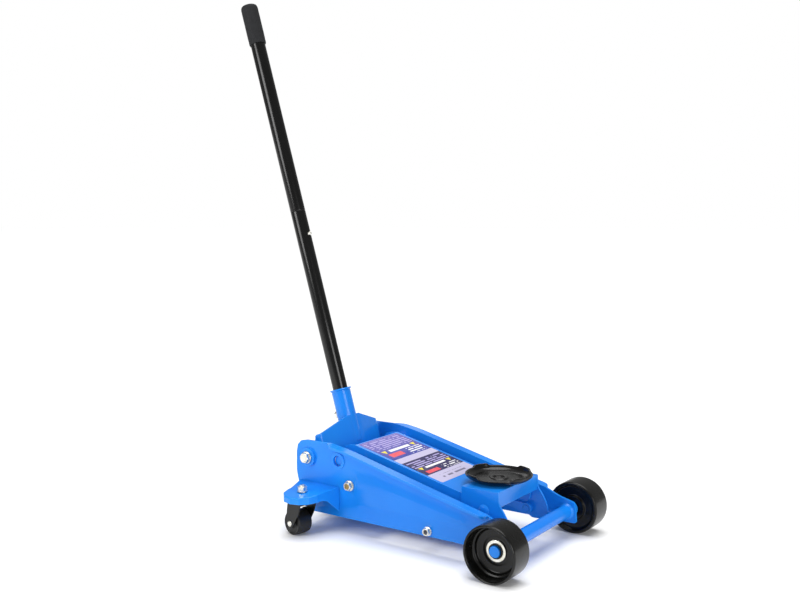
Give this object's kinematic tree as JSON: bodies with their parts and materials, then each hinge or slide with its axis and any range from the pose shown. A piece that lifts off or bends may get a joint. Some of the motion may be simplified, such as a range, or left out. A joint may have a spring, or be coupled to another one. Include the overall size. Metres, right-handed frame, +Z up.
{
  "type": "trolley jack",
  "caption": "Low hydraulic floor jack on wheels: blue pressed side frame and lift arm, black swivel saddle, steel front wheels, rear swivel casters and a black two-part pump handle.",
  "frame": {"origin": "bottom centre of the whole jack's box at rest, on the floor", "axes": "+X towards the saddle end, +Y to the jack's left, +Z up"},
  "size_m": [0.7392, 0.395, 1.0176],
  "materials": {
    "frame_paint": "glossy azure enamel, slight orange peel",
    "wheel_paint": "gloss black enamel over steel",
    "caster_plastic": "moulded black nylon, satin",
    "saddle_paint": "gloss black enamel over a casting",
    "handle_paint": "gloss black enamel over steel tube",
    "grip_rubber": "dark grey soft grip, matt",
    "zinc": "bright zinc plate",
    "steel": "ground steel",
    "unit_casting": "black painted casting"
  },
  "bodies": {
    "frame": {"side_plate_right": "frame_paint", "side_plate_left": "frame_paint", "front_axle": "frame_paint", "wheel_washer_right": "zinc", "wheel_washer_left": "zinc", "axle_clip_right": "wheel_paint", "axle_clip_left": "wheel_paint", "caster_bracket_right": "frame_paint", "caster_bracket_left": "frame_paint", "caster_bolt_right": "zinc", "caster_bolt_left": "zinc", "unit_cradle": "frame_paint", "power_unit": "unit_casting", "unit_bolt_right": "zinc", "unit_bolt_left": "zinc", "tie_rod": "steel", "tie_nut_right": "zinc", "tie_nut_left": "zinc", "arm_pivot_shaft": "frame_paint", "link_anchor_shaft": "steel", "yoke_bolt_right": "zinc", "yoke_bolt_left": "zinc", "pump_spring": "steel", "return_spring_right": "steel", "return_spring_left": "steel"},
    "lift_arm": {"lift_arm": "frame_paint", "ram_lug_pin_right": "zinc", "ram_lug_pin_left": "zinc", "head_pivot_pin": "frame_paint"},
    "level_links": {"level_link_right": "frame_paint", "level_link_left": "frame_paint"},
    "saddle_head": {"saddle_head": "frame_paint", "link_front_pin_right": "frame_paint", "link_front_pin_left": "frame_paint"},
    "saddle": {"saddle": "saddle_paint"},
    "ram": {"ram_rod": "steel", "crosshead": "steel", "ram_link_right": "steel", "ram_link_left": "steel"},
    "yoke": {"handle_yoke": "frame_paint", "pump_roller_pin": "steel", "socket_screw": "zinc"},
    "pump_roller": {"pump_roller": "steel"},
    "handle": {"handle_lower": "handle_paint", "handle_upper": "handle_paint", "handle_grip": "grip_rubber", "release_coupler": "steel"},
    "snap_button": {"snap_button": "zinc"},
    "pump_plunger": {"pump_plunger": "steel"},
    "release_valve": {"release_valve": "steel"},
    "front_wheel_right": {"front_wheel_right": "wheel_paint"},
    "caster_swivel_right": {"caster_fork_right": "wheel_paint", "caster_axle_right": "zinc"},
    "caster_roll_right": {"caster_wheel_right": "caster_plastic"},
    "front_wheel_left": {"front_wheel_left": "wheel_paint"},
    "caster_swivel_left": {"caster_fork_left": "wheel_paint", "caster_axle_left": "zinc"},
    "caster_roll_left": {"caster_wheel_left": "caster_plastic"}
  },
  "joints": [
    {"name": "front_wheel_spin_right", "type": "hinge", "parent": "frame", "child": "front_wheel_right", "pos_m": [0.32157, -0.1545, 0.048], "axis": [0, 1, 0], "continuous": true},
    {"name": "caster_swivel_right", "type": "hinge", "parent": "frame", "child": "caster_swivel_right", "pos_m": [-0.07943, -0.162, 0.06], "axis": [0, 0, 1], "continuous": true},
    {"name": "caster_wheel_spin_right", "type": "hinge", "parent": "caster_swivel_right", "child": "caster_roll_right", "pos_m": [-0.09224, -0.15974, 0.0225], "axis": [0.1736, 0.9848, 0], "continuous": true},
    {"name": "front_wheel_spin_left", "type": "hinge", "parent": "frame", "child": "front_wheel_left", "pos_m": [0.32157, 0.1545, 0.048], "axis": [0, 1, 0], "continuous": true},
    {"name": "caster_swivel_left", "type": "hinge", "parent": "frame", "child": "caster_swivel_left", "pos_m": [-0.07943, 0.162, 0.06], "axis": [0, 0, 1], "continuous": true},
    {"name": "caster_wheel_spin_left", "type": "hinge", "parent": "caster_swivel_left", "child": "caster_roll_left", "pos_m": [-0.09224, 0.16426, 0.0225], "axis": [0.1736, 0.9848, 0], "continuous": true},
    {"name": "lift_arm_raise", "type": "hinge", "parent": "frame", "child": "lift_arm", "pos_m": [-0.03843, 0, 0.133], "axis": [0, -1, 0], "range_deg": [0, 58]},
    {"name": "saddle_head_level", "type": "hinge", "parent": "lift_arm", "child": "saddle_head", "pos_m": [0.25157, 0, 0.082], "axis": [0, -1, 0], "range_deg": [-58, 0]},
    {"name": "level_link_swing", "type": "hinge", "parent": "frame", "child": "level_links", "pos_m": [-0.02643, 0, 0.106], "axis": [0, -1, 0], "range_deg": [0, 58]},
    {"name": "ram_slide", "type": "slide", "parent": "frame", "child": "ram", "axis": [1, 0, 0], "range_m": [0, 0.058]},
    {"name": "saddle_swivel", "type": "hinge", "parent": "saddle_head", "child": "saddle", "pos_m": [0.23957, 0, 0.117], "axis": [0, 0, 1], "continuous": true},
    {"name": "handle_pump", "type": "hinge", "parent": "frame", "child": "yoke", "pos_m": [-0.10943, 0, 0.131], "axis": [0, -1, 0], "range_deg": [0, 50], "stiffness_Nm_per_rad": 4.5, "springref_deg": -51.57},
    {"name": "pump_plunger_slide", "type": "slide", "parent": "frame", "child": "pump_plunger", "axis": [0, 0, -1], "range_m": [0, 0.0185], "deforming": ["pump_spring"]},
    {"name": "pump_roller_spin", "type": "hinge", "parent": "yoke", "child": "pump_roller", "pos_m": [-0.12943, 0, 0.139], "axis": [0, 1, 0], "continuous": true},
    {"name": "handle_twist", "type": "hinge", "parent": "yoke", "child": "handle", "pos_m": [-0.08657, 0, 0.13799], "axis": [-0.2924, 0, 0.9563], "range_deg": [0, 120]},
    {"name": "snap_button_press", "type": "slide", "parent": "handle", "child": "snap_button", "axis": [-0.9563, 0, -0.2924], "range_m": [0, 0.005], "stiffness_N_per_m": 600, "springref_m": -0.002},
    {"name": "release_valve_turn", "type": "hinge", "parent": "frame", "child": "release_valve", "pos_m": [-0.09043, 0, 0.062], "axis": [0, 0, 1], "range_deg": [0, 120]}
  ],
  "couplings": [
    {"joint": "saddle_head_level", "follows": "lift_arm_raise", "ratio": -1},
    {"joint": "level_link_swing", "follows": "lift_arm_raise", "ratio": 1},
    {"joint": "ram_slide", "follows": "lift_arm_raise", "m_per_rad": 0.0569},
    {"joint": "pump_plunger_slide", "follows": "handle_pump", "m_per_rad": 0.0208},
    {"joint": "release_valve_turn", "follows": "handle_twist", "ratio": 1}
  ]
}
